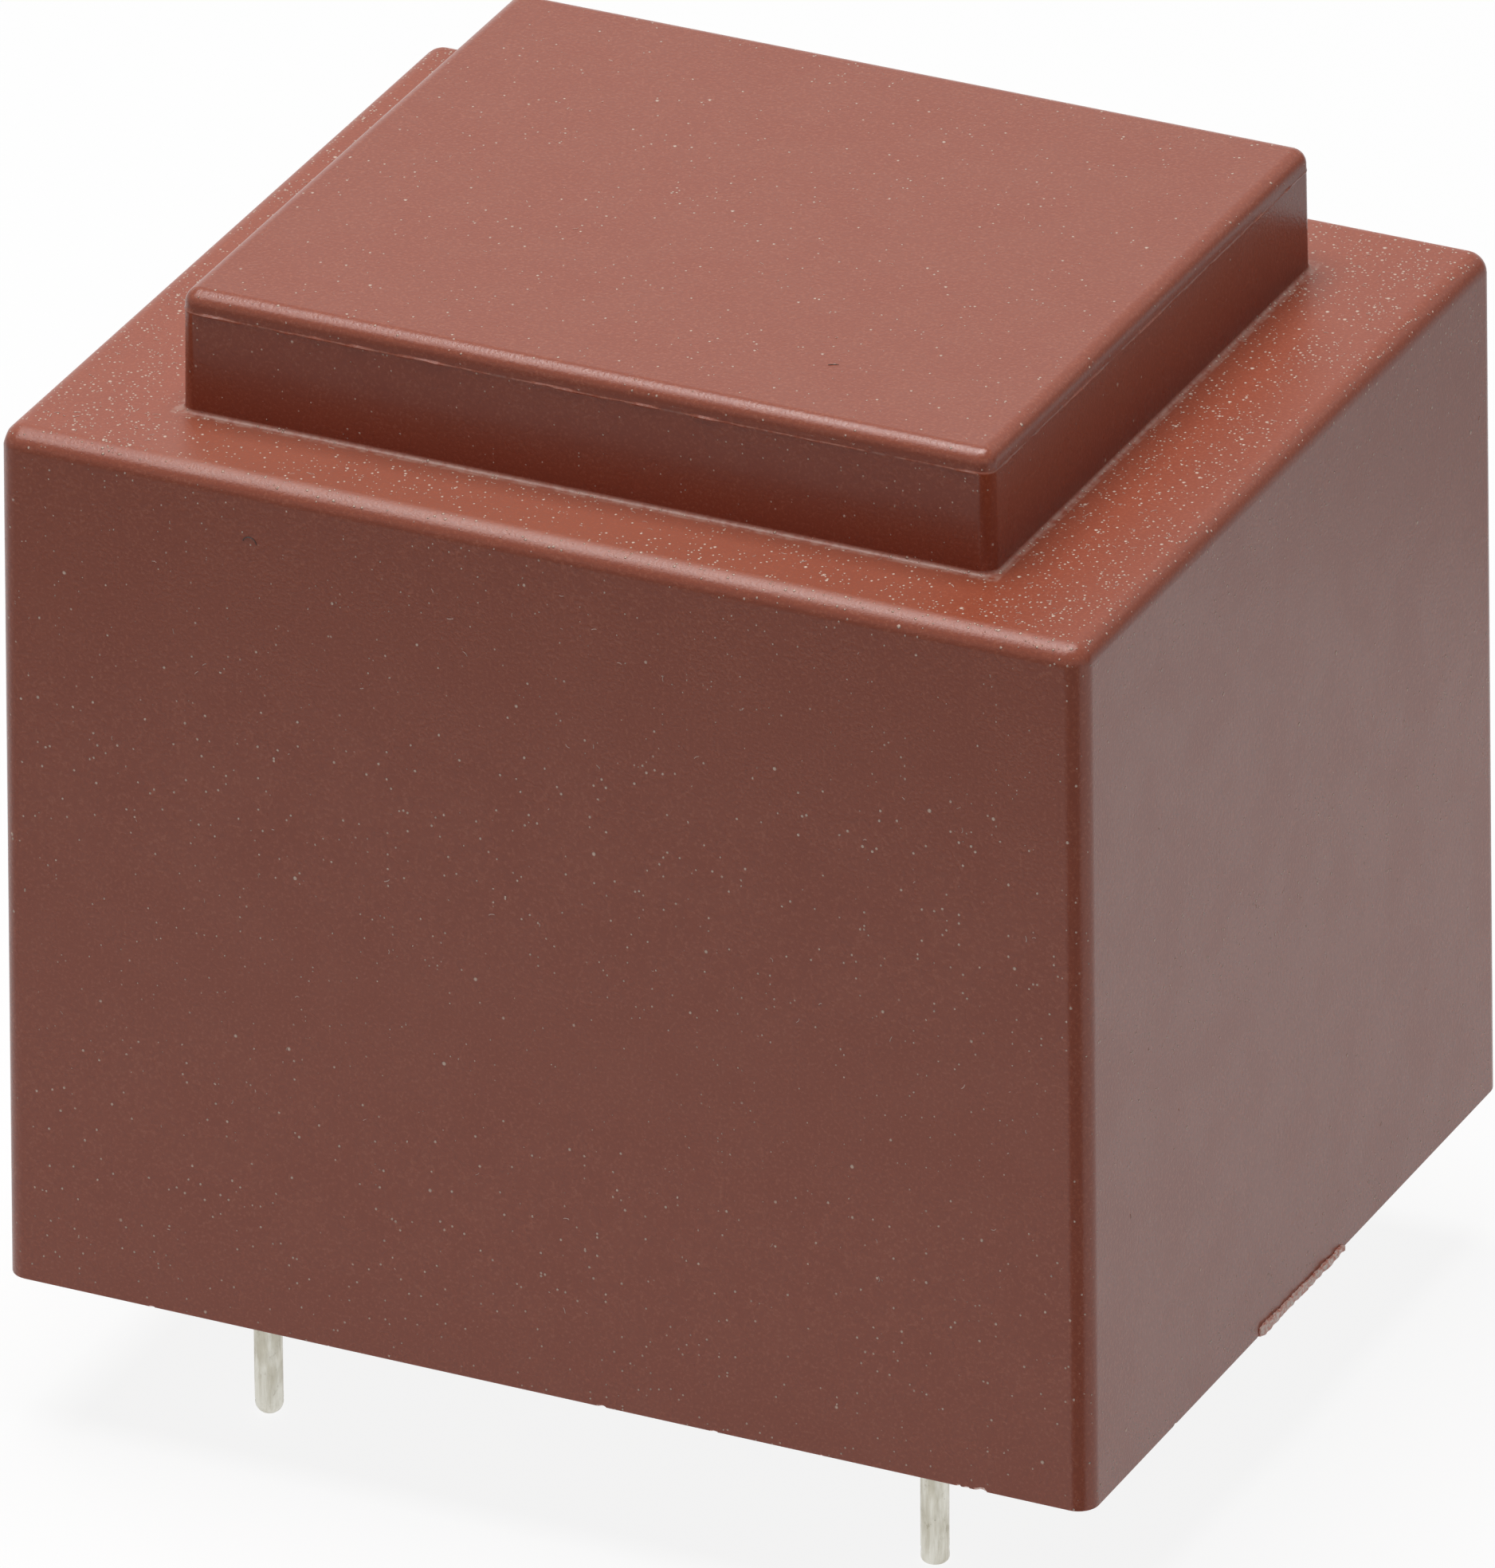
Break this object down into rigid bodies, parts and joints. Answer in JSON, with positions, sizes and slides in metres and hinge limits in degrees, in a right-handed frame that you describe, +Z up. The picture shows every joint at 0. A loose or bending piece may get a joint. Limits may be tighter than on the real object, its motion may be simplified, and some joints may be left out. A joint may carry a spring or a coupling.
{
  "type": "encapsulated pcb transformer",
  "caption": "Potted mains transformer in a stepped moulded case with solder pins for a printed circuit board.",
  "frame": {"origin": "centre of the case's footprint on the board, in the plane of the case's rim", "axes": "+Z up out of the board, +X along the pin rows, -Y towards the primary pins; the pins reach below the origin's plane"},
  "size_m": [0.0325, 0.027, 0.0338],
  "materials": {
    "case_plastic": "satin moulded thermoplastic with a fine grain",
    "resin": "cast resin, slightly glossy",
    "core_steel": "varnished electrical sheet steel",
    "bobbin_plastic": "natural moulded polyamide",
    "enamelled_copper": "enamelled copper wire",
    "tape": "polyester insulating tape",
    "solder": "dull tin solder",
    "tinned_wire": "hot-tinned wire, slightly streaky"
  },
  "bodies": {
    "root": {"casing": "case_plastic", "potting_compound": "resin", "e_laminations": "core_steel", "i_laminations": "core_steel", "bobbin": "bobbin_plastic", "primary_winding": "enamelled_copper", "secondary_winding": "enamelled_copper", "primary_tape": "tape", "secondary_tape": "tape", "primary_lead_1": "enamelled_copper", "primary_lead_5": "enamelled_copper", "secondary_lead_7": "enamelled_copper", "secondary_lead_9": "enamelled_copper", "primary_joint_1": "solder", "primary_joint_5": "solder", "secondary_joint_7": "solder", "secondary_joint_9": "solder", "primary_pin_1": "tinned_wire", "primary_pin_5": "tinned_wire", "secondary_pin_7": "tinned_wire", "secondary_pin_9": "tinned_wire"}
  },
  "joints": []
}
